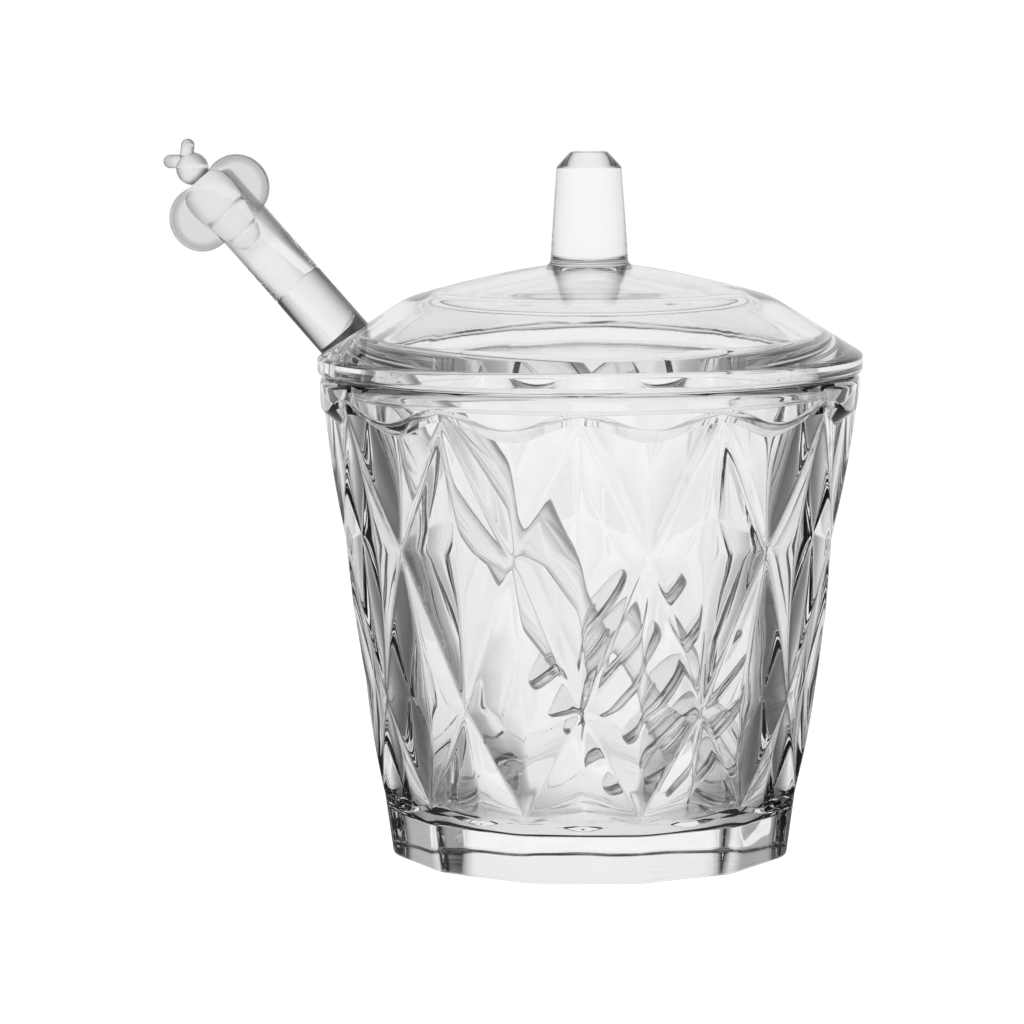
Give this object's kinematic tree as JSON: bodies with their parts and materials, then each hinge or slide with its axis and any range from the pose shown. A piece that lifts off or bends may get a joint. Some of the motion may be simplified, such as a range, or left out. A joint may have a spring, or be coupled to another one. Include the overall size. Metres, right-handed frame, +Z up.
{
  "type": "honey pot",
  "caption": "Tapered pressed-glass honey pot with a diamond pattern, a domed lift-off glass lid with a knob and rim notch, and a translucent dipper topped by a bee.",
  "frame": {"origin": "centre of the jar's flat underside, on the jar's axis", "axes": "+Z up along the jar's axis; -Y is the pot's front; the dipper leans out over the rim towards -X"},
  "size_m": [0.1279, 0.1, 0.1312],
  "materials": {
    "jar_glass": "clear pressed glass, smooth and glossy",
    "lid_glass": "clear pressed glass, smooth and glossy",
    "dipper_plastic": "translucent moulded plastic, satin"
  },
  "bodies": {
    "jar": {"jar": "jar_glass"},
    "lid": {"lid": "lid_glass"},
    "dipper": {"dipper": "dipper_plastic"}
  },
  "joints": [
    {"name": "lid_lift", "type": "slide", "parent": "jar", "child": "lid", "axis": [0, 0, 1], "range_m": [0, 0.06]},
    {"name": "dipper_draw", "type": "slide", "parent": "jar", "child": "dipper", "axis": [-0.6563, 0, 0.7545], "range_m": [0, 0.05]}
  ]
}
